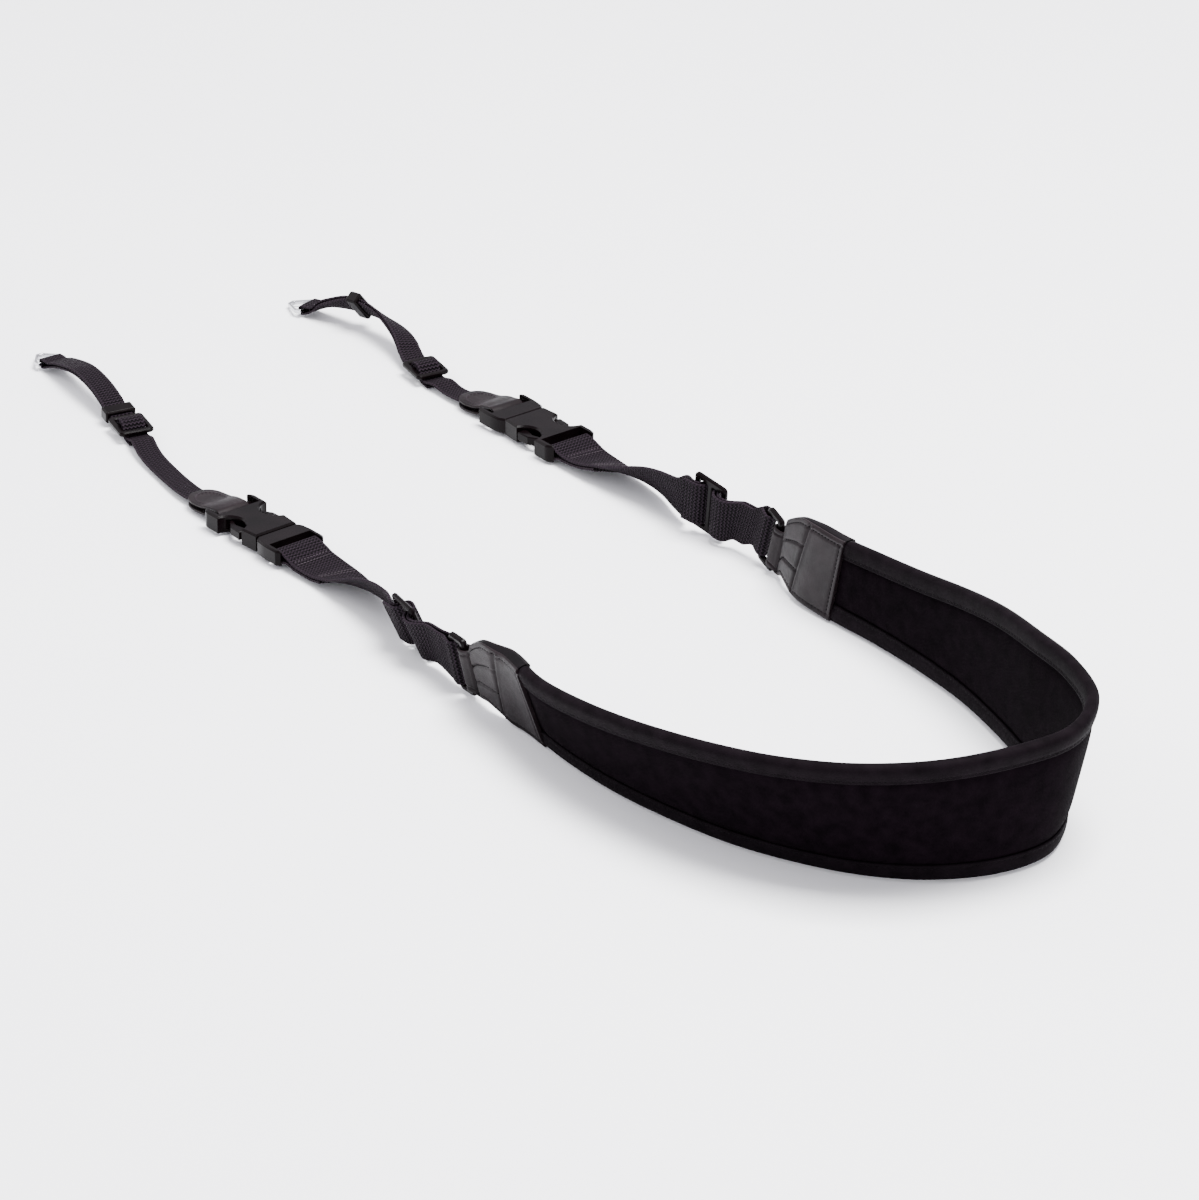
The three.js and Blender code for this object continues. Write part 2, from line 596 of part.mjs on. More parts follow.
// The wide webbing: sewn round the buckle's bar, through the tri-glide, round the loop ring and
// back through the tri-glide, where its free end stands off.
function wideWebbingGeometry(side) {
  const w = WIDE.width;
  const rows = (table) => table.map(([a, q]) => ({ a, q, w }));
  const onBar = rows([[32, 0.78], [12, 0.78], [6, 1.2], [2.5, 2.35]]);
  const onRing = rows([[-10.75, 1.2], [-7.75, 2.1]]);
  const ringBar = RING.bar / 2 - RING.length / 2;
  return strap([
    ...folded(side, "bar_pad", onBar, 0, 2.55, -1).reverse(),
    ...placed(side, "bar_pad", rows([[40, 0]])),
    ...placed(side, "triglide", rows([[-19, 0], [-15, -0.8], [-11, -2.3]])),
    ...placed(side, "triglide", woven(RUNNING, 1, w)),
    ...placed(side, "triglide", rows([[11, -2.3], [15, -0.35], [19, 0.78]])),
    ...folded(side, "ring", onRing, ringBar, 2.6, 1),
    ...placed(side, "triglide", rows([[19, -0.78], [15, -1.9], [11, -3.85]])),
    ...placed(side, "triglide", woven(RETURNING, 1, w).reverse()),
    ...placed(side, "triglide", rows([[-12, -4.6], [-17, -6]])),
  ], WIDE.thickness);
}

// The leather patch: folded round the buckle's other bar, closed on the narrow webbing's end, with
// a rounded tip. The right one's fold is fuller.
const PATCH = [
  { a: -27, q: 1.45, w: 6 }, { a: -25.5, q: 1.45, w: 11 }, { a: -23, q: 1.45, w: 15 },
  { a: -19, q: 1.45, w: 17.2 }, { a: -12, q: 1.5, w: 17.4 }, { a: -7, q: 1.9, w: 17.2 },
  { a: -3, q: 2.4, w: 16.8 },
];
const PATCH_FOLD = { left: 2.55, right: 3.1 };

function patchGeometry(side) {
  return strap(folded(side, "bar_end", PATCH, 0, PATCH_FOLD[side.name], 1), LEATHER);
}

// The narrow webbing: out of the patch, through the slider, round the lug ring and back through
// the slider, past which its end shows.
function narrowWebbingGeometry(side) {
  const w = NARROW.width;
  const rows = (table) => table.map(([a, q]) => ({ a, q, w }));
  const onRing = rows([[6, 0.8], [3, 1.5]]);
  return strap([
    ...placed(side, "bar_end", rows([[-5, 0], [-30, 0]])),
    ...placed(side, "slider", rows([[17, 0], [13.5, -0.9], [9.9, -2.07]])),
    ...placed(side, "slider", woven(RUNNING, SLIDER_SCALE, w).reverse()),
    ...placed(side, "slider", rows([[-9.9, -1.9], [-12, -0.52], [-19, -0.52], [-24, 0.68]])),
    ...folded(side, "end", onRing, 0, 2.05, -1),
    ...placed(side, "slider", rows([[-24, -0.68], [-19, -1.88], [-12, -1.88], [-9.9, -3.3]])),
    ...placed(side, "slider", woven(RETURNING, SLIDER_SCALE, w)),
    ...placed(side, "slider", rows([[12, -3.75]])),
  ], NARROW.thickness);
}

for (const side of SIDES) {
  const named = (name) => `${name}_${side.name}`;
  add(named("end_tab"), tabGeometry(side), BLACK_LEATHER);
  setOn(add(named("loop_ring"), loopRingGeometry(), BLACK_PLASTIC), side, "ring");
  setOn(add(named("triglide"), sliderGeometry(TRIGLIDE), BLACK_PLASTIC), side, "triglide");
  add(named("wide_webbing"), wideWebbingGeometry(side), BLACK_WEBBING);

  // The left buckle's socket holds the patch, the right one's holds the wide webbing.
  const buckle = setOn(new THREE.Group(), side, "bar_end");
  if (side.name === "right") buckle.translateX(BUCKLE.barToBar).rotateZ(Math.PI);
  for (const [name, geometry] of [["socket", socketGeometry()], ["plug", plugGeometry()]]) {
    buckle.add(add(named(`buckle_${name}`), geometry, BLACK_PLASTIC));
  }
  neckStrap.add(buckle);

  add(named("leather_patch"), patchGeometry(side), BLACK_LEATHER);
  add(named("narrow_webbing"), narrowWebbingGeometry(side), BLACK_WEBBING);
  setOn(add(named("slider"), sliderGeometry(SLIDER), BLACK_PLASTIC), side, "slider");
  const keeper = add(named("keeper"), keeperGeometry(), BLACK_PLASTIC);
  setOn(keeper, side, "slider", KEEPER_AT[side.name]);

  // The lug ring lies on the surface by its tip, with its base in the webbing's loop.
  const lugRing = setOn(add(named("lug_ring"), lugRingGeometry(), STEEL), side, "end");
  const level = new THREE.Vector3(1, 0, 0).applyQuaternion(lugRing.quaternion).setZ(0).normalize();
  const y = UP.clone().cross(level);
  const tilt = radians(LUG_RING_TILT);
  const x = level.multiplyScalar(Math.cos(tilt)).addScaledVector(UP, Math.sin(tilt));
  lugRing.setRotationFromMatrix(new THREE.Matrix4().makeBasis(x, y, x.clone().cross(y)));
}

// The origin is the middle of the strap's bounding box, on the surface it lies on.
const bounds = new THREE.Box3().setFromObject(neckStrap, true);
const middle = bounds.getCenter(new THREE.Vector3());
neckStrap.position.set(-middle.x, -middle.y, -bounds.min.z);

export default neckStrap;
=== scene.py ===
# A camera neck strap on a pale floor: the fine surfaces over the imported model.
import math

import bmesh
import bpy
from mathutils import Matrix, Vector

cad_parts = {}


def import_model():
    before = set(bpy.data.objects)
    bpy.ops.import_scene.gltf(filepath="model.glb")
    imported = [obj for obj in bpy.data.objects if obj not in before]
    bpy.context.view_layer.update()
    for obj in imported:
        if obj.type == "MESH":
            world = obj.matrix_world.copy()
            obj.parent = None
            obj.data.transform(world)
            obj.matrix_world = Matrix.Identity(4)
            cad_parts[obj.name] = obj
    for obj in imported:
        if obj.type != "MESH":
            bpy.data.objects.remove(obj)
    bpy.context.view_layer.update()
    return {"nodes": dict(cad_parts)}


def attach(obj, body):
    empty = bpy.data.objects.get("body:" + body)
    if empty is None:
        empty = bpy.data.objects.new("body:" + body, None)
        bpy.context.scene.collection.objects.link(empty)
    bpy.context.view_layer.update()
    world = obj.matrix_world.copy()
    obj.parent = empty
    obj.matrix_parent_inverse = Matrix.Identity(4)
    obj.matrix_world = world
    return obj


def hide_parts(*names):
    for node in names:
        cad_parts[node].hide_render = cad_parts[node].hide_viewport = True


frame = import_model()

MM = 0.001
# The route's own millimetres to the model's frame, whose origin is under the middle of its box.
ROUTE_MIDDLE = Vector((324.3357, -27.7321, -0.6246))

# x, y, z: middle of the strap. roll: 0 lies flat, 90 stands on its lower edge. The labels name the
# hard pieces, and a number is (x, y, z, roll, skew, width, label).
LEFT = [
    (-14, -71, 1.6, 0, 0, 22, None),
    (-2, -71.5, 2.75, 0, 0, 22, "left_end"),
    (14, -72.5, 7.5, 0, 0, 22, None),
    (32, -74.5, 11, 0, 0, 22, None),
    (50, -77, 10, 0, 0, 22, None),
    (68, -80, 6, 0, 0, 22, None),
    (84, -83, 4.75, 0, 0, 22, "left_slider"),
    (97, -86.3, 4.5, 0, 0, 22, None),
    (112, -91, 2.4, 0, 0, 22, None),
    (130, -94.5, 1.7, 0, 0, 22, None),
    (156, -98.5, 2.5, 0, 0, 22, None),
    (170, -98.2, 3, 0, 0, 22, None),
    (188, -97.8, 4.7, 0, 0, 22, "left_bar_end"),
    (237.5, -96, 4.7, 0, 0, 22, "left_bar_pad"),
    (251, -95.5, 3, 0, 0, 22, None),
    (266, -95, 2.4, 6, 0, 22, None),
    (282, -95.8, 5, 22, 0, 22, None),
    (298, -98.2, 8.8, 42, 0, 22, None),
    (314, -101.5, 12, 56, 0, 22, None),
    (330, -105.5, 13.4, 64, 0, 22, None),
    (345, -109, 13.9, 67, 2, 22, "left_triglide"),
    (366, -111.8, 14.1, 73, 3, 22, None),
    (388, -113.8, 14.6, 78, 4, 22, "left_ring"),
    (418, -117.5, 20.4, 74, 4, 39, None),
]
# x, y: middle of the pad. lean: how far its upper edge leans over. (x, y, lean, skew, width)
PAD = [
    (432.5, -116.6, 17, 4, 42),
    (461.4, -121.3, 21, 3, 44.5),
    (495.2, -122.9, 21.5, 2, 49),
    (529.6, -120.2, 22, 0, 54),
    (564.3, -113.5, 22, 0, 59),
    (594.9, -101.8, 22, 0, 62.5),
    (619.6, -86.7, 20.5, 0, 65),
    (639.7, -64.3, 17, 0, 66),
    (651.3, -35.5, 13, 0, 66),
    (651.9, -9.2, 12.5, 0, 66),
    (637.9, 12.5, 11, 0, 66),
    (613.7, 26.5, 6, 0, 65.5),
    (583.4, 36.3, 2, 0, 63),
    (552.1, 45.5, 1, 0, 58.5),
    (520, 52.5, 0, -3, 52.5),
    (488, 56, 0, -6, 47),
    (458, 57.4, 1, -9, 43.5),
    (431, 57.3, 3, -12, 41.5),
]
RIGHT = [
    (401, 58.3, 20.3, 86, -14, 39, None),
    (374, 65, 15.2, 87, -20, 22, "right_ring"),
    (350, 65.5, 15.2, 92, -17, 22, None),
    (332, 63.2, 15.7, 95, -13, 22, "right_triglide"),
    (315, 61.8, 13.4, 102, -6, 22, None),
    (300, 63, 12.2, 113, 0, 22, None),
    (286, 64.8, 10.2, 129, 0, 22, None),
    (271, 65.3, 7.5, 147, 0, 22, None),
    (256, 65.5, 4.8, 162, 0, 22, None),
    (241, 65.2, 3.7, 174, 0, 22, None),
    (225, 65, 4.7, 180, 0, 22, "right_bar_pad"),
    (175.5, 64.6, 4.7, 180, 0, 22, "right_bar_end"),
    (160, 62.8, 3, 180, 0, 22, None),
    (147.5, 61.3, 2.5, 180, 0, 22, None),
    (138, 61.3, 2.2, 180, 0, 22, None),
    (126, 61.9, 4.4, 180, 0, 22, None),
    (115, 62.8, 4.75, 180, 0, 22, "right_slider"),
    (100, 66, 6, 176, 0, 22, None),
    (84, 70.5, 9.5, 160, 0, 22, None),
    (66, 72, 12, 138, 0, 22, None),
    (48, 70, 12, 128, 0, 22, None),
    (34, 66, 8.5, 150, 0, 22, None),
    (20, 62, 2.75, 180, 0, 22, "right_end"),
    (8, 59, 1.6, 180, 0, 22, None),
]
# Half the pad's thickness at the edge that it stands on.
PAD_EDGE_HALF = 1.5
# Within reach of each hard piece the strap runs straight, and over RELEASE it bends again.
HOLDS = [("end", 3), ("slider", 10.5), ("bar_end", 4), ("bar_pad", 4), ("triglide", 11.5), ("ring", 9)]
RELEASE = 8
# The way along the route that leads towards the pad.
SIDES = {"left": 1, "right": -1}
# The route is measured in this many straight pieces between two of its rows.
DIVISIONS = 40


def pad_station(row):
    """A row of the pad as a row of the route: it stands on its lower edge, leaning over."""
    x, y, lean, skew, width = row
    lean_angle = math.radians(lean)
    half = 0.5 * width * math.cos(math.radians(skew))
    z = half * math.cos(lean_angle) + PAD_EDGE_HALF * math.sin(lean_angle)
    return (x, y, z, 90 - lean, skew, width, None)


stations = LEFT + [pad_station(r) for r in PAD] + RIGHT
spine = [Vector(r[:3]) for r in stations]
shape = [Vector(r[3:6]) for r in stations]


def hermite(values, t, centripetal):
    """three.js's Catmull-Rom curve through values, at t from 0 to 1."""
    last = len(values) - 1
    p = last * t
    i = min(max(math.floor(p), 0), last - 1)
    w = p - i
    p1, p2 = values[i], values[i + 1]
    p0 = values[i - 1] if i > 0 else 2 * values[0] - values[1]
    p3 = values[i + 2] if i + 2 <= last else 2 * values[last] - values[last - 1]
    if centripetal:
        d0 = max((p0 - p1).length_squared ** 0.25, 1e-4)
        d1 = max((p1 - p2).length_squared ** 0.25, 1e-4)
        d2 = max((p2 - p3).length_squared ** 0.25, 1e-4)
        m1 = ((p1 - p0) / d0 - (p2 - p0) / (d0 + d1) + (p2 - p1) / d1) * d1
        m2 = ((p2 - p1) / d1 - (p3 - p1) / (d1 + d2) + (p3 - p2) / d2) * d1
    else:
        m1, m2 = 0.5 * (p2 - p0), 0.5 * (p3 - p1)
    c2 = -3 * p1 + 3 * p2 - 2 * m1 - m2
    c3 = 2 * p1 - 2 * p2 + m1 + m2
    return p1 + m1 * w + c2 * w * w + c3 * w ** 3


COUNT = (len(stations) - 1) * DIVISIONS
travelled = [0.0]
previous = hermite(spine, 0, True)
for step in range(1, COUNT + 1):
    point = hermite(spine, step / COUNT, True)
    travelled.append(travelled[-1] + (point - previous).length)
    previous = point
label_at = {r[6]: travelled[i * DIVISIONS] for i, r in enumerate(stations) if r[6]}


def parameter_at(distance):
    """The curve's parameter, from 0 to 1, at a distance along it."""
    low, high = 0, COUNT
    while high - low > 1:
        middle = (low + high) // 2
        if travelled[middle] > distance:
            high = middle
        else:
            low = middle
    share = (distance - travelled[low]) / (travelled[high] - travelled[low])
    return (low + share) / COUNT


def axes_of(direction, roll, skew):
    """A strap's axes along, across and out of its face, rolled about its direction and skewed."""
    roll, skew = math.radians(roll), math.radians(skew)
    level = Vector((0, 0, 1)).cross(direction).normalized()
    rise = direction.cross(level)
    straight = level * math.cos(roll) - rise * math.sin(roll)
    face = direction.cross(straight)
    across = straight * math.cos(skew) - direction * math.sin(skew)
    return across.cross(face), across, face


def free_frame(distance):
    """The middle, axes and width of the curve itself, before the hard pieces straighten it."""
    t = parameter_at(distance)
    delta = 1e-4
    ahead, behind = min(t + delta, 1), max(t - delta, 0)
    direction = (hermite(spine, ahead, True) - hermite(spine, behind, True)).normalized()
    values = hermite(shape, t, False)
    along, across, face = axes_of(direction, values.x, values.y)
    return hermite(spine, t, True), along, across, face, values.z


station_of = {r[6]: r for r in stations if r[6]}
holds = []
for side, towards_pad in SIDES.items():
    for label, reach in HOLDS:
        at = label_at[f"{side}_{label}"]
        centre, along, across, face, width = free_frame(at)
        if label.startswith("bar"):
            end, pad = station_of[f"{side}_bar_end"], station_of[f"{side}_bar_pad"]
            line = (Vector(pad[:3]) - Vector(end[:3])).normalized() * towards_pad
            along, across, face = axes_of(line, end[3], 0)
        holds.append((at, reach, centre, along, across, face))


def smoothstep(value, low, high):
    x = min(max((value - low) / (high - low), 0), 1)
    return x * x * (3 - 2 * x)


def frame_at(distance):
    """The strap's middle, its axes (along, across, face) and its width at a distance."""
    centre, along, across, face, width = free_frame(distance)
    for at, reach, held, held_along, held_across, held_face in holds:
        away = distance - at
        if abs(away) < reach + RELEASE:
            share = smoothstep(abs(away), reach, reach + RELEASE)
            centre = (held + held_along * away).lerp(centre, share)
            across = held_across.lerp(across, share).normalized()
            face = held_face.lerp(face, share)
            face = (face - across * face.dot(across)).normalized()
            return centre, across.cross(face), across, face, width
    return centre, along, across, face, width


def world(point):
    """The route's millimetres as the model's metres."""
    return (point - ROUTE_MIDDLE) * MM


# ---------------------------------------------------------------- mesh building
def mesh_object(name, vertices, faces, uvs=None):
    mesh = bpy.data.meshes.new(name)
    mesh.from_pydata(vertices, [], faces)
    mesh.validate()
    piece = bpy.data.objects.new(name, mesh)
    bpy.context.scene.collection.objects.link(piece)
    if uvs:
        layer = mesh.uv_layers.new(name="UVMap")
        for loop in mesh.loops:
            layer.data[loop.index].uv = uvs[loop.vertex_index]
    mesh.polygons.foreach_set("use_smooth", [True] * len(mesh.polygons))
    return piece


def tube(name, rings, uvs):
    """A closed skin through rings of points. uvs: one (u, v) for each point of each ring."""
    count = len(rings[0])
    vertices = [p for ring in rings for p in ring]
    flat_uvs = [uv for ring in uvs for uv in ring]
    faces = []
    for i in range(len(rings) - 1):
        for k in range(count):
            a, b = i * count + k, i * count + (k + 1) % count
            faces.append((a, b, b + count, a + count))
    faces.append(tuple(reversed(range(count))))
    last = (len(rings) - 1) * count
    faces.append(tuple(range(last, last + count)))
    piece = mesh_object(name, vertices, faces, flat_uvs)
    for cap in piece.data.polygons[-2:]:
        cap.use_smooth = False
    return piece


def distances(start, stop, step):
    """Even places from start to stop, no further apart than step."""
    count = math.ceil((stop - start) / step)
    return [start + (stop - start) * i / count for i in range(count + 1)]


def sweep(name, stops, section_at):
    """A closed skin along the route, with section_at(distance, width) at each stop."""
    rings, uvs = [], []
    for s in stops:
        centre, along, across, face, width = frame_at(s)
        section = section_at(s, width)
        rings.append([world(centre + across * x + face * y) for x, y in section])
        uvs.append([(s, x) for x, _ in section])
    return tube(name, rings, uvs)


CORNER_POINTS = 4
CORNER_TURN = 30
RELIEF_POINTS = 60
EDGE_SHARE = 0.7  # how much of a strap's half thickness its edges are rounded by
CORNER_CUT = 0.2
FOLD_STEPS = 14


def rounded_section(half_width, half_thickness, edge, fine=0):
    """A flat strap's section with rounded edges: points (across, out), anticlockwise.

    fine adds that many points along its under side, where a relief is carved.
    """
    points = [
        ((edge - half_width) + 2 * (half_width - edge) * k / (fine + 1), -half_thickness)
        for k in range(1, fine + 1)
    ]
    for sign_x, sign_y, start in ((1, -1, -90), (1, 1, 0), (-1, 1, 90), (-1, -1, 180)):
        for k in range(CORNER_POINTS):
            angle = math.radians(start + CORNER_TURN * k)
            points.append((
                sign_x * (half_width - edge) + edge * math.cos(angle),
                sign_y * (half_thickness - edge) + edge * math.sin(angle),
            ))
    return points


def rounded_path(places, step):
    """Corner-cut places (s, q, w), then points no further apart than step."""
    near, far = 1 - CORNER_CUT, CORNER_CUT
    cut = [places[0]]
    for a, b in zip(places, places[1:]):
        cut.append(tuple(near * x + far * y for x, y in zip(a, b)))
        cut.append(tuple(far * x + near * y for x, y in zip(a, b)))
    places = cut + [places[-1]]
    path = [places[0]]
    for a, b in zip(places, places[1:]):
        span = math.hypot(b[0] - a[0], b[1] - a[1])
        pieces = max(1, math.ceil(span / step))
        for k in range(1, pieces + 1):
            path.append(tuple(x + (y - x) * k / pieces for x, y in zip(a, b)))
    return path


def strap(name, places, thickness, step, relief=None):
    """A strap through places. Its UVs are its own length and width in millimetres.

    relief(s, share) raises its outer side, by the distance and the share of its half width.
    """
    path = rounded_path(places, step)
    headings = [
        Vector((b[0] - a[0], b[1] - a[1])).normalized() if a[:2] != b[:2] else Vector((1, 0))
        for a, b in zip(path, path[1:])
    ]
    rings, uvs, run = [], [], 0.0
    for i, (s, q, w) in enumerate(path):
        arriving, leaving = headings[max(i - 1, 0)], headings[min(i, len(headings) - 1)]
        heading = arriving + leaving
        heading = heading.normalized() if heading.length > 1e-6 else leaving
        centre, along, across, face, _ = frame_at(s)
        middle = centre + face * q
        out = face * heading.x - along * heading.y
        half = thickness / 2
        section = rounded_section(w / 2, half, half * EDGE_SHARE, RELIEF_POINTS if relief else 0)
        if relief:
            section = [
                (x, y - relief(s, 2 * x / w)) if k < RELIEF_POINTS else (x, y)
                for k, (x, y) in enumerate(section)
            ]
        rings.append([world(middle + across * x + out * y) for x, y in section])
        uvs.append([(run, x) for x, _ in section])
        if i + 1 < len(path):
            run += math.hypot(path[i + 1][0] - s, path[i + 1][1] - q)
    return tube(name, rings, uvs)


def place(side, label, rows):
    """Rows (distance towards the pad, height, width) from a hard piece, as places on the route."""
    sign = SIDES[side]
    return [(label_at[f"{side}_{label}"] + sign * a, sign * q, w) for a, q, w in rows]


def folded(side, label, rows, a, radius, turn):
    """A strap in along rows, round a bar at a, and back beneath itself."""
    w = rows[-1][2]
    bend = []
    for i in range(FOLD_STEPS + 1):
        angle = math.pi * i / FOLD_STEPS
        bend.append((a + turn * radius * math.sin(angle), radius * math.cos(angle), w))
    below = [(x, -q, width) for x, q, width in reversed(rows)]
    return place(side, label, list(rows) + bend + below)


# How a strap weaves over an adjuster's centre bar and under its end bars: (distance, height).
# The running layer is the higher of the two all the way.
RUNNING = [(0, 3.85), (2.6, 3.4), (4, 1.8), (5, -0.5), (6.3, -2.3), (8.4, -2.75)]
RETURNING = [
    (0, 2.2), (1.4, 2.1), (2.2, 1.3), (2.6, 0.2), (3, -1.4), (4.2, -3.1), (6.2, -4), (8.4, -4.3),
]


def woven(rows, scale, w):
    """A weave's rows, and the same mirrored about the centre bar."""
    right = [(a * scale, q * scale, w) for a, q in rows]
    return [(-a, q, w) for a, q, w in reversed(right[1:])] + right


# Where the loop ring's bars lie either side of its middle, and the radius of each fold.
RING_BAR = 4.75
RING_TURN = 2.6
BAR_TURN = 2.55
LUG_TURN = 2.05
WIDE = 22
NARROW = 11
SLIDER_SCALE = 0.9  # the slider is the tri-glide at this scale


def widths(rows, w):
    return [(a, q, w) for a, q in rows]


def wide_places(side):
    """Round the buckle's bar, through the tri-glide, round the loop ring and back to a free end."""
    w = WIDE
    on_bar = widths([(32, 0.78), (12, 0.78), (6, 1.2), (2.5, 2.35)], w)
    on_ring = widths([(-10.75, 1.2), (-7.75, 2.1)], w)
    return (
        list(reversed(folded(side, "bar_pad", on_bar, 0, BAR_TURN, -1)))
        + place(side, "bar_pad", [(40, 0, w)])
        + place(side, "triglide", widths([(-19, 0), (-15, -0.8), (-11, -2.3)], w))
        + place(side, "triglide", woven(RUNNING, 1, w))
        + place(side, "triglide", widths([(11, -2.3), (15, -0.35), (19, 0.78)], w))
        + folded(side, "ring", on_ring, -RING_BAR, RING_TURN, 1)
        + place(side, "triglide", widths([(19, -0.78), (15, -1.9), (11, -3.85)], w))
        + place(side, "triglide", list(reversed(woven(RETURNING, 1, w))))
        + place(side, "triglide", widths([(-10.5, -4.5), (-12.5, -4.8)], w))
    )


def narrow_places(side):
    """From the patch through the slider, round the lug ring and back to a free end."""
    w, scale = NARROW, SLIDER_SCALE
    on_ring = widths([(6, 0.8), (3, 1.5)], w)
    return (
        place(side, "bar_end", widths([(-5, 0), (-30, 0)], w))
        + place(side, "slider", widths([(17, 0), (13.5, -0.9), (9.9, -2.07)], w))
        + place(side, "slider", list(reversed(woven(RUNNING, scale, w))))
        + place(side, "slider", widths([(-9.9, -1.9), (-12, -0.52), (-19, -0.52), (-24, 0.68)], w))
        + folded(side, "end", on_ring, 0, LUG_TURN, -1)
        + place(side, "slider", widths([(-24, -0.68), (-19, -1.88), (-12, -1.88), (-9.9, -3.3)], w))
        + place(side, "slider", woven(RETURNING, scale, w))
        + place(side, "slider", [(12, -3.75, w)])
    )


# The patch from its tip to its fold: (distance, height, width).
PATCH = [
    (-27, 1.45, 6), (-25.5, 1.45, 11), (-23, 1.45, 15), (-19, 1.45, 17.2), (-12, 1.5, 17.4),
    (-7, 1.9, 17.2), (-3, 2.4, 16.8),
]
PATCH_FOLD = {"left": 2.55, "right": 3.1}
# The tab where it narrows to its fold, as wide as the pad's end where no width is given.
TAB_FOLD = [
    (40, 2.3, None), (36, 1.95, 40.2), (31.5, 1.35, 39.5), (28, 1.0, 38.5), (20, 0.8, 31.5),
    (12, 0.8, 24.5), (8.5, 1.5, 21.5), (6.6, 2.2, 20.8),
]


# The tab's sewing, as distances from the loop ring, from its edge and from its middle.
SEAMS = (10.5, 33.0)
SEAM_LEAN = 2.2
TAB_HEM = 57.5
TAB_LENGTH = 60
RIM_ENDS = (9.5, 59.6)
BORDER_SEAM = 2.6
CELL_SEAM = 0.31  # of the tab's half width
CELL_STITCHES = 0.36  # of its half width inside the border seam
CELL_SPREAD = 0.1
# How deep the sewing pulls the leather in, and how far the padding and the folded panel swell it.
BORDER_DEPTH = 0.55
SEAM_DEPTHS = (0.8, 0.95)
HEM_DEPTH = 0.5
CELL_DEPTH = 0.95
DEEPEST = 0.85
SWELL = 0.45
LIP = 0.3


def groove(distance, width=0.55):
    """A pressed line's share of its depth at a distance from its middle."""
    return math.exp(-((distance / width) ** 2))


def seam_at(share):
    """The second cross seam leans: its upper end lies nearer the pad."""
    return SEAMS[1] - SEAM_LEAN * share


def tab_relief(side):
    """Three padded cells between the seams, then a folded panel with a raised lip."""
    at = label_at[f"{side}_ring"]

    def raised(s, share):
        a = abs(s - at)
        half = max(frame_at(s)[4] / 2, 8)
        border = (1 - abs(share)) * half
        second = seam_at(share)
        height = -BORDER_DEPTH * groove(border - BORDER_SEAM)
        height -= SEAM_DEPTHS[0] * groove(a - SEAMS[0], 0.7) + SEAM_DEPTHS[1] * groove(a - second, 0.8)
        height -= HEM_DEPTH * groove(a - TAB_HEM) * smoothstep(border, 1.5, 3)
        if SEAMS[0] < a < second:
            along = (a - SEAMS[0]) / (second - SEAMS[0])
            for centre in (-CELL_SEAM, CELL_SEAM):
                away = share - centre * (1 + CELL_SPREAD * along)
                height -= CELL_DEPTH * groove(away * half, 0.75)
            height += SWELL * smoothstep(min(a - SEAMS[0], second - a, border), 0, 3)
        if a > second:
            height += SWELL * smoothstep(a - second, 0.2, 1.4) + LIP * groove(a - second - 1.6, 1.0)
        return max(height, -DEEPEST) * smoothstep(border, 0, 0.9)

    return raised


def tab_rows(side):
    """The tab from its edge on the pad to its fold, as wide as the pad where no width is given."""
    rows = []
    for a, q, w in [(TAB_LENGTH, 2.5, None), (51.5, 2.5, None), (44, 2.45, None)] + TAB_FOLD:
        s = label_at[f"{side}_ring"] + SIDES[side] * a
        rows.append((a, q, w if w else frame_at(s)[4] - 0.2))
    return rows


def tab_at(side, a):
    """The tab's half width, and its layer's height off the route, at a."""
    rows = tab_rows(side)
    for (a1, q1, w1), (a2, q2, w2) in zip(rows, rows[1:]):
        if a2 <= a <= a1:
            mix = (a - a2) / (a1 - a2)
            return (w2 + (w1 - w2) * mix) / 2, q2 + (q1 - q2) * mix
    return rows[-1][2] / 2, rows[-1][1]


def tab_rim(side, edge):
    """The sewn and dyed edge that closes the tab's two layers. edge is +1 at the lower edge."""
    at, sign = label_at[f"{side}_ring"], SIDES[side]
    points, half_across, inset, proud = 16, 0.85, 0.75, 0.5

    def section(s, width):
        half, q = tab_at(side, abs(s - at))
        return [
            (edge * (half - inset) + half_across * math.cos(angle), (q + proud) * math.sin(angle))
            for angle in (2 * math.pi * k / points for k in range(points))
        ]

    stops = sorted(at + sign * a for a in distances(*RIM_ENDS, 1.5))
    return sweep(f"end_tab_{side}_rim_{'lower' if edge > 0 else 'upper'}", stops, section)


# ---------------------------------------------------------------- materials
def new_material(name, color, roughness, metallic=0.0, specular=0.5):
    """A Principled material with its constants set on the shader, and its nodes to extend."""
    material = bpy.data.materials.new(name)
    material.use_nodes = True
    shader = material.node_tree.nodes["Principled BSDF"]
    shader.inputs["Base Color"].default_value = (*color, 1)
    shader.inputs["Roughness"].default_value = roughness
    shader.inputs["Metallic"].default_value = metallic
    shader.inputs["Specular IOR Level"].default_value = specular
    return material, material.node_tree, shader


def add_node(tree, kind, **inputs):
    node = tree.nodes.new(kind)
    for key, value in inputs.items():
        node.inputs[key.replace("_", " ")].default_value = value
    return node


def math_node(tree, operation, a, b=None):
    """The output of a Math node whose inputs are numbers or other nodes' outputs."""
    node = tree.nodes.new("ShaderNodeMath")
    node.operation = operation
    for index, value in enumerate((a, b)):
        if value is None:
            continue
        if isinstance(value, (int, float)):
            node.inputs[index].default_value = value
        else:
            tree.links.new(value, node.inputs[index])
    return node.outputs[0]


def object_space(tree):
    """The model's own coordinates in metres, so that a grain doesn't stretch."""
    return tree.nodes.new("ShaderNodeTexCoord").outputs["Object"]


def noise(tree, vector, scale, detail=3.0):
    node = add_node(tree, "ShaderNodeTexNoise", Scale=scale, Detail=detail)
    tree.links.new(vector, node.inputs["Vector"])
    return node.outputs["Fac"]


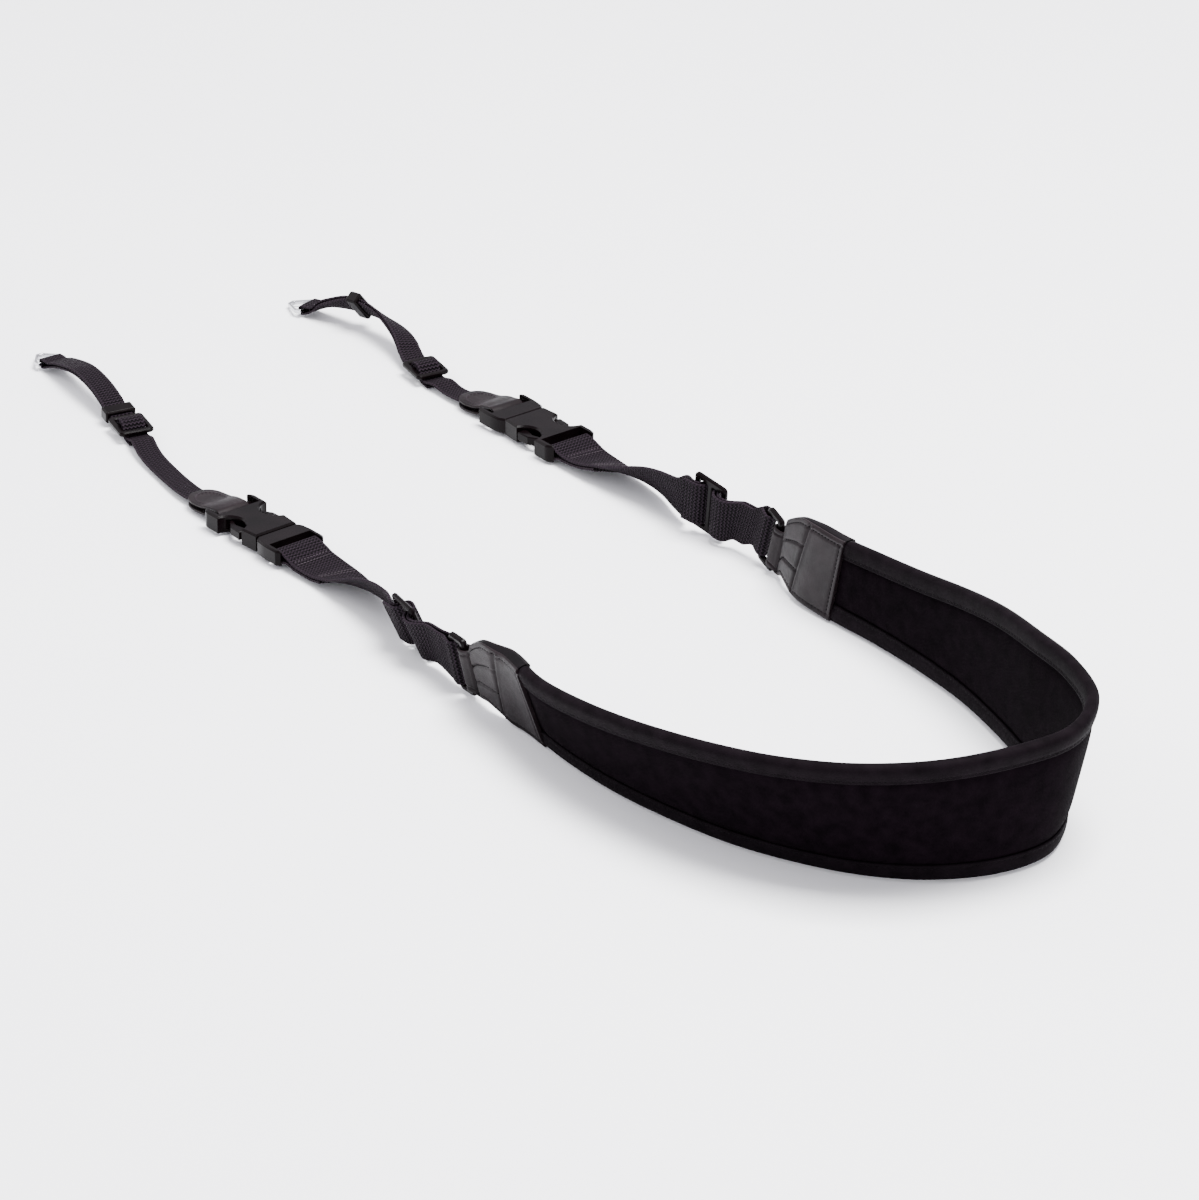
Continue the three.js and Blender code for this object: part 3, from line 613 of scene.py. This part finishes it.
def colour_between(tree, factor, dark, light, shader):
    """Base colour from dark to light over the middle of the factor's range."""
    ramp = tree.nodes.new("ShaderNodeValToRGB")
    ramp.color_ramp.elements[0].position = 0.3
    ramp.color_ramp.elements[0].color = (*dark, 1)
    ramp.color_ramp.elements[1].position = 0.7
    ramp.color_ramp.elements[1].color = (*light, 1)
    tree.links.new(factor, ramp.inputs["Fac"])
    tree.links.new(ramp.outputs["Color"], shader.inputs["Base Color"])


def bump(tree, height, distance, shader, strength=1.0):
    node = add_node(tree, "ShaderNodeBump", Strength=strength, Distance=distance)
    tree.links.new(height, node.inputs["Height"])
    tree.links.new(node.outputs["Normal"], shader.inputs["Normal"])


def vary_roughness(tree, factor, low, high, shader):
    node = tree.nodes.new("ShaderNodeMapRange")
    node.inputs["To Min"].default_value = low
    node.inputs["To Max"].default_value = high
    tree.links.new(factor, node.inputs["Value"])
    tree.links.new(node.outputs["Result"], shader.inputs["Roughness"])


def webbing_material(name, pitch, half_width):
    """Ribs across the strap, broken by a finer lengthwise weave and thicker selvedges, with painted
    shade in the weave's valleys and a painted highlight on its raised ribs and selvedges.
    """
    material, tree, shader = new_material(name, (0.009, 0.007, 0.009), 0.75, specular=0.05)
    yarn_width, rib_shift, yarn_height = 1.9, 1.3, 0.35
    selvedge_width, selvedge_height = 1.1, 0.7
    uv = tree.nodes.new("ShaderNodeUVMap")
    uv.uv_map = "UVMap"
    split = tree.nodes.new("ShaderNodeSeparateXYZ")
    tree.links.new(uv.outputs["UV"], split.inputs[0])
    u, v = split.outputs[0], split.outputs[1]
    yarn = math_node(tree, "MULTIPLY", v, 2 * math.pi / yarn_width)
    shifted = math_node(tree, "ADD", math_node(tree, "MULTIPLY", u, 2 * math.pi / pitch),
                        math_node(tree, "MULTIPLY", math_node(tree, "SINE", yarn), rib_shift))
    rib = math_node(tree, "SINE", shifted)
    fine = math_node(tree, "MULTIPLY", math_node(tree, "SINE", yarn), yarn_height)
    weave = math_node(tree, "ADD", rib, fine)
    edge = math_node(tree, "ABSOLUTE", v)
    selvedge = math_node(tree, "GREATER_THAN", edge, half_width - selvedge_width)
    raised = math_node(tree, "MULTIPLY", selvedge, selvedge_height)
    height = math_node(tree, "ADD", weave, raised)
    # Base colour from the weave's height: painted shade in the valleys, painted highlight on the rib
    # tops and raised selvedges.
    factor = math_node(tree, "MULTIPLY_ADD", height, 0.25)
    factor.node.inputs[2].default_value = 0.5
    colour_between(tree, factor, (0.0005, 0.0003, 0.0005), (0.0165, 0.0110, 0.0160), shader)
    bump(tree, height, 0.0004, shader)
    return material


def grain_material(name, dark, light, roughness, scale, depth, specular):
    """An uneven surface in the model's own space: foam facing, tape, thread or moulded plastic."""
    middle = tuple((a + b) / 2 for a, b in zip(dark, light))
    material, tree, shader = new_material(name, middle, sum(roughness) / 2, specular=specular)
    where = object_space(tree)
    colour_between(tree, noise(tree, where, scale * 0.06), dark, light, shader)
    vary_roughness(tree, noise(tree, where, scale * 0.3), *roughness, shader)
    bump(tree, noise(tree, where, scale, 4.0), depth, shader)
    return material


def leather_material():
    """Fine creases between the cells of a Voronoi pattern, over a softer unevenness."""
    material, tree, shader = new_material("leather", (0.006, 0.004, 0.005), 0.38, specular=0.075)
    dark, light = (0.0030, 0.0017, 0.0023), (0.0085, 0.0054, 0.0066)
    crease_edge, unevenness = 0.25, 0.5
    where = object_space(tree)
    cells = add_node(tree, "ShaderNodeTexVoronoi", Scale=1300.0)
    cells.feature = "DISTANCE_TO_EDGE"
    tree.links.new(where, cells.inputs["Vector"])
    creases = math_node(tree, "MINIMUM", cells.outputs["Distance"], crease_edge)
    swells = math_node(tree, "MULTIPLY", noise(tree, where, 300), unevenness)
    height = math_node(tree, "ADD", creases, swells)
    colour_between(tree, noise(tree, where, 90), dark, light, shader)
    vary_roughness(tree, noise(tree, where, 240), 0.36, 0.56, shader)
    bump(tree, height, 0.00025, shader, 0.6)
    return material


def steel_material():
    """Bright wire with a slightly uneven polish."""
    material, tree, shader = new_material("ring_steel", (0.5, 0.5, 0.52), 0.2, 1.0)
    vary_roughness(tree, noise(tree, object_space(tree), 900), 0.1, 0.26, shader)
    return material


# Darkest and lightest colour, roughness from and to, the grain's scale and depth (m), specular.
GRAINS = {
    "neoprene": (
        (0.0012, 0.0006, 0.0011), (0.0030, 0.0016, 0.0027), (0.72, 0.92), 2600, 0.00012, 0.01),
    "binding_tape": (
        (0.0018, 0.0010, 0.0016), (0.0042, 0.0026, 0.0038), (0.6, 0.82), 2200, 0.00010, 0.022),
    "rim": (
        (0.0010, 0.0006, 0.0010), (0.0026, 0.0016, 0.0024), (0.5, 0.7), 1500, 0.00005, 0.05),
    "black_plastic": (
        (0.0012, 0.0006, 0.0008), (0.0030, 0.0017, 0.0021), (0.18, 0.3), 1500, 0.00002, 0.042),
    "thread": (
        (0.018, 0.013, 0.017), (0.034, 0.026, 0.032), (0.55, 0.75), 3000, 0.00003, 0.15),
}
RIB_PITCH = 1.7
MATERIALS = {name: grain_material(name, *row) for name, row in GRAINS.items()}
MATERIALS["black_leather"] = leather_material()
MATERIALS["webbing"] = webbing_material("webbing_wide", RIB_PITCH, WIDE / 2)
MATERIALS["webbing_narrow"] = webbing_material("webbing_narrow", RIB_PITCH, NARROW / 2)
MATERIALS["ring_steel"] = steel_material()


def finish(piece, slot, *nodes, material=None):
    """Rides a piece on the strap's one body, gives it the slot's material unless another is named, and
    hides the nodes it stands for.
    """
    piece.data.materials.clear()
    piece.data.materials.append(MATERIALS[material or slot])
    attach(piece, "root")
    if nodes:
        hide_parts(*nodes)
    return piece


# ---------------------------------------------------------------- the neck pad
ring_left, ring_right = label_at["left_ring"], label_at["right_ring"]
BINDING_START = 60.6
FOAM_START = 43
BOUND = (ring_left + BINDING_START, ring_right - BINDING_START)
BINDING_SEAM = 7.4  # from the pad's edge


def pad_section(s, width):
    """Foam crowned between the bindings, and thin where the bindings and tabs hold it."""
    inside = min(s - BOUND[0], BOUND[1] - s)
    filling_length, bound_width, edge_inset = 7, 9.35, 1.5
    share = smoothstep(inside, 0, filling_length)
    open_edge = width / 2 - bound_width
    half = width / 2 - edge_inset
    held, settled, steps = 1.45, 0.2, 24
    crowned = []
    for k in range(steps + 1):
        x = open_edge * math.cos(math.pi * k / steps)
        edge = 1 - min(abs(x) / open_edge, 1) ** 8
        swell = 1.3 + 0.1 * (1 - (x / open_edge) ** 2)
        crowned.append((x, held + swell * edge * share + settled * edge * (1 - share)))
    upper = (
        [(half, 0.8), (half - 0.6, 1.4), (open_edge + 2, 1.4)]
        + crowned
        + [(-open_edge - 2, 1.4), (0.6 - half, 1.4), (-half, 0.8)]
    )
    return upper + [(x, -y) for x, y in reversed(upper)]


pad = sweep("neck_pad_foam", distances(ring_left + FOAM_START, ring_right - FOAM_START, 3), pad_section)
finish(pad, "neoprene", "neck_pad")


def binding_section(edge):
    """A rolled channel of tape: full round its outer edge, with a sewn groove near its open side."""
    def at(s, width):
        outer, high = width / 2, 2.95
        profile = [
            (outer - 9, 2.0), (outer - 8.7, 2.55), (outer - 8.0, 2.62), (outer - BINDING_SEAM, 2.3),
            (outer - 6.8, 2.62), (outer - 5.2, high), (outer - 3, high), (outer - 1.5, 2.7),
            (outer - 0.5, 1.9), (outer - 0.05, 0.8), (outer, 0),
        ]
        rim = profile + [(x, -y) for x, y in reversed(profile[:-1])]
        inner = [(outer - 9, -1.7), (outer - 1.2, -1.7), (outer - 1.2, 1.7), (outer - 9, 1.7)]
        section = rim + inner
        return [(edge * x, edge * y) for x, y in reversed(section)]
    return at


for name, edge in (("upper", -1), ("lower", 1)):
    binding = sweep(f"pad_binding_{name}_tape", distances(*BOUND, 3), binding_section(edge))
    finish(binding, "binding_tape", f"pad_binding_{name}")


# ---------------------------------------------------------------- sewing
# Along one stitch: the share of its length, the share of its radius, and its lift.
THREAD_SECTIONS = ((-0.5, 0.3, -0.15), (-0.28, 1, 0.05), (0.28, 1, 0.05), (0.5, 0.3, -0.15))
THREAD_SIDES = 6


def stitches(name, lines, pitch=2.6, length=1.8, radius=0.2):
    """Short rounded threads along lines of (point, normal) pairs, in the route's millimetres."""
    vertices, faces = [], []
    ring = THREAD_SIDES
    last = (len(THREAD_SECTIONS) - 1) * ring
    for line in lines:
        run = [0.0]
        for (a, _), (b, _) in zip(line, line[1:]):
            run.append(run[-1] + (b - a).length)
        at = pitch / 2
        index = 0
        while at < run[-1]:
            while run[index + 1] < at:
                index += 1
            (a, na), (b, nb) = line[index], line[index + 1]
            share = (at - run[index]) / max(run[index + 1] - run[index], 1e-9)
            middle, normal = a.lerp(b, share), na.lerp(nb, share).normalized()
            direction = (b - a).normalized()
            sideways = normal.cross(direction)
            first = len(vertices)
            for offset, size, lift in THREAD_SECTIONS:
                centre = middle + direction * (offset * length) + normal * lift
                for k in range(ring):
                    angle = 2 * math.pi * k / ring
                    round_it = sideways * math.cos(angle) + normal * math.sin(angle)
                    vertices.append(world(centre + round_it * radius * size))
            for start in range(first, first + last, ring):
                for k in range(ring):
                    p, q = start + k, start + (k + 1) % ring
                    faces.append((p, q, q + ring, p + ring))
            faces.append(tuple(reversed(range(first, first + ring))))
            faces.append(tuple(range(first + last, first + last + ring)))
            at += pitch
    return mesh_object(name, vertices, faces)


def surface_line(points):
    """(distance, across, out) places as (point, outward normal) pairs."""
    line = []
    for s, x, q in points:
        centre, along, across, face, _ = frame_at(s)
        line.append((centre + across * x + face * q, face * (1 if q > 0 else -1)))
    return line


pad_lines = []
for edge in (-1, 1):
    for out in (-1, 1):
        pad_lines.append(surface_line([
            (s, edge * (frame_at(s)[4] / 2 - BINDING_SEAM), out * 2.36)
            for s in distances(*BOUND, 4)
        ]))
finish(stitches("pad_stitches", pad_lines), "binding_tape", material="rim")


# ---------------------------------------------------------------- straps, tabs and patches
def leather_and_webbing(side):
    """One arm's two runs of webbing, its end tab with both rims, and its patch."""
    wide = strap(f"wide_webbing_{side}_woven", wide_places(side), thickness=1.2, step=1.4)
    finish(wide, "webbing", f"wide_webbing_{side}")
    narrow = strap(f"narrow_webbing_{side}_woven", narrow_places(side), thickness=1.0, step=1.2)
    finish(narrow, "webbing", f"narrow_webbing_{side}", material="webbing_narrow")
    tab_places = folded(side, "ring", tab_rows(side), RING_BAR, RING_TURN, -1)
    tab = strap(
        f"end_tab_{side}_leather", tab_places, thickness=1.2, step=0.8, relief=tab_relief(side))
    finish(tab, "black_leather", f"end_tab_{side}")
    patch_places = folded(side, "bar_end", PATCH, 0, PATCH_FOLD[side], 1)
    patch = strap(f"leather_patch_{side}_leather", patch_places, thickness=1.2, step=1.0)
    finish(patch, "black_leather", f"leather_patch_{side}")
    for edge in (-1, 1):
        finish(tab_rim(side, edge), "black_leather", material="rim")


def tab_sewing(side):
    """Stitches down the tab's borders, along its three cross seams and between its cells."""
    ring_at, sign, relief = label_at[f"{side}_ring"], SIDES[side], tab_relief(side)
    cell_length, lift = 19, 0.68

    def line(places, out):
        """(distance from the ring, share of the half width) places, on the side that out names."""
        points = []
        for a, share in places:
            half, q = tab_at(side, a)
            x = share * (half - BORDER_SEAM)
            s = ring_at + sign * a
            points.append((s, x, out * (q + lift + relief(s, x / half))))
        return surface_line(points)

    lines = []
    for out in (-1, 1):
        for edge in (-1, 1):
            lines.append(line([(a, edge) for a in distances(10, TAB_HEM, 2)], out))
        for lean, seam in ((0, SEAMS[0]), (SEAM_LEAN, SEAMS[1]), (0, TAB_HEM)):
            lines.append(line([(seam - lean * k / 8, k / 8) for k in range(-8, 9)], out))
        for start in (-CELL_STITCHES, CELL_STITCHES):
            lines.append(line([
                (SEAMS[0] + cell_length * k / 8, start * (1 + CELL_SPREAD * k / 8))
                for k in range(9)
            ], out))
    return stitches(f"tab_stitches_{side}", lines, pitch=2.2, length=1.6, radius=0.28)


def patch_sewing(side):
    """A plain oval of stitches on each face of the patch."""
    bar_at, sign = label_at[f"{side}_bar_end"], SIDES[side]
    centre, half_length, half_width, height, steps = -15.2, 8.6, 6.2, 2.12, 40
    lines = []
    for out in (-1, 1):
        oval = []
        for k in range(steps + 1):
            angle = 2 * math.pi * k / steps
            s = bar_at + sign * (centre + half_length * math.cos(angle))
            oval.append((s, half_width * math.sin(angle), out * height))
        lines.append(surface_line(oval))
    return stitches(f"patch_stitches_{side}", lines, pitch=1.8, length=1.3, radius=0.2)


def webbing_sewing(side):
    """Two pairs of stitched rows across the doubled webbing by the buckle."""
    bar_at = label_at[f"{side}_bar_pad"]
    lines = []
    for out in (-1, 1):
        for a in (10.5, 13.0, 28.5, 30.5):
            s = bar_at + SIDES[side] * a
            lines.append(surface_line([(s, x, out * 1.46) for x in distances(-9.5, 9.5, 1)]))
    return stitches(f"webbing_stitches_{side}", lines, pitch=1.7, length=1.35, radius=0.26)


for side in SIDES:
    leather_and_webbing(side)
    finish(tab_sewing(side), "black_leather", material="rim")
    finish(patch_sewing(side), "black_leather", material="thread")
    finish(webbing_sewing(side), "webbing", material="thread")


# ---------------------------------------------------------------- moulded and metal pieces
SAME_PLACE = 1e-6  # metres
FLAT_WITHIN = 2  # degrees
SHARP_FROM = 28  # degrees
# How far each moulding's edges are rounded, in millimetres.
EDGE_RADII = {
    "loop_ring": 0.55, "triglide": 0.4, "slider": 0.3, "keeper": 0.6,
    "buckle_socket": 0.75, "buckle_plug": 0.65,
}
WIRE_EDGE = 0.22


def softened(node, name, slot, radius, segments=2):
    """A copy of a hard node with its edges rounded, as a moulding or bent wire has them."""
    mesh = frame["nodes"][node].data.copy()
    work = bmesh.new()
    work.from_mesh(mesh)
    bmesh.ops.remove_doubles(work, verts=work.verts, dist=SAME_PLACE)
    bmesh.ops.dissolve_limit(
        work, angle_limit=math.radians(FLAT_WITHIN), verts=work.verts, edges=work.edges)
    work.to_mesh(mesh)
    work.free()
    piece = bpy.data.objects.new(name, mesh)
    bpy.context.scene.collection.objects.link(piece)
    bevel = piece.modifiers.new("round", "BEVEL")
    bevel.width = radius * MM
    bevel.segments = segments
    bevel.limit_method = "ANGLE"
    bevel.angle_limit = math.radians(SHARP_FROM)
    bevel.use_clamp_overlap = True
    mesh.polygons.foreach_set("use_smooth", [True] * len(mesh.polygons))
    normals = piece.modifiers.new("normals", "WEIGHTED_NORMAL")
    normals.keep_sharp = True
    return finish(piece, slot, node)


for side in SIDES:
    for node, radius in EDGE_RADII.items():
        softened(f"{node}_{side}", f"{node}_{side}_moulded", "black_plastic", radius, 3)
    softened(f"lug_ring_{side}", f"lug_ring_{side}_wire", "ring_steel", WIRE_EDGE)


# ---------------------------------------------------------------- floor, light and camera
def floor_material():
    material, tree, shader = new_material("floor", (0.93, 0.93, 0.95), 0.85, specular=0.1)
    where = object_space(tree)
    colour_between(tree, noise(tree, where, 5), (0.92, 0.92, 0.945), (0.94, 0.94, 0.955), shader)
    return material


FLOOR_SIZE = 12
FLOOR_GAP = 0.0002  # below the strap, so that no face lies in another
bpy.ops.mesh.primitive_plane_add(size=FLOOR_SIZE, location=(0, 0, -FLOOR_GAP))
floor = bpy.context.object
floor.name = "floor"
floor.data.materials.append(floor_material())


def area_light(name, position, target, size, power, color=(1, 1, 1)):
    """A soft light in metres and watts, turned towards its target."""
    light = bpy.data.lights.new(name, "AREA")
    light.energy = power
    light.size = size
    light.color = color
    piece = bpy.data.objects.new(name, light)
    piece.location = position
    piece.rotation_euler = (Vector(target) - Vector(position)).to_track_quat("-Z", "Y").to_euler()
    bpy.context.scene.collection.objects.link(piece)


area_light("key", (0.45, 0.35, 2.1), (0, 0, 0), 1.1, 185)
area_light("fill", (1.4, -1.6, 1.5), (0, 0, 0), 2.0, 9, (0.97, 0.96, 1))
area_light("rim", (-1.6, -0.6, 1.1), (0.1, 0, 0), 1.0, 14)
sky = bpy.data.worlds.new("sky")
bpy.context.scene.world = sky
sky.use_nodes = True
sky.node_tree.nodes["Background"].inputs["Color"].default_value = (0.95, 0.94, 1, 1)
sky.node_tree.nodes["Background"].inputs["Strength"].default_value = 1.5

# The eye in the route's millimetres, the way it looks, and its picture's horizontal.
EYE = Vector((2322.0, -1509.3, 1244.0))
LOOK = Vector((-0.7116, 0.5402, -0.4493))
LEVEL = Vector((0.6046, 0.7965, 0))
camera_data = bpy.data.cameras.new("camera")
camera_data.lens = 189
camera_data.sensor_width = 36
camera_data.clip_end = 20
camera = bpy.data.objects.new("camera", camera_data)
bpy.context.scene.collection.objects.link(camera)
bpy.context.scene.camera = camera
look = LOOK.normalized()
right = LEVEL.normalized()
above = right.cross(look)
camera.matrix_world = Matrix.Translation(world(EYE)) @ Matrix((
    (right.x, above.x, -look.x, 0),
    (right.y, above.y, -look.y, 0),
    (right.z, above.z, -look.z, 0),
    (0, 0, 0, 1),
))
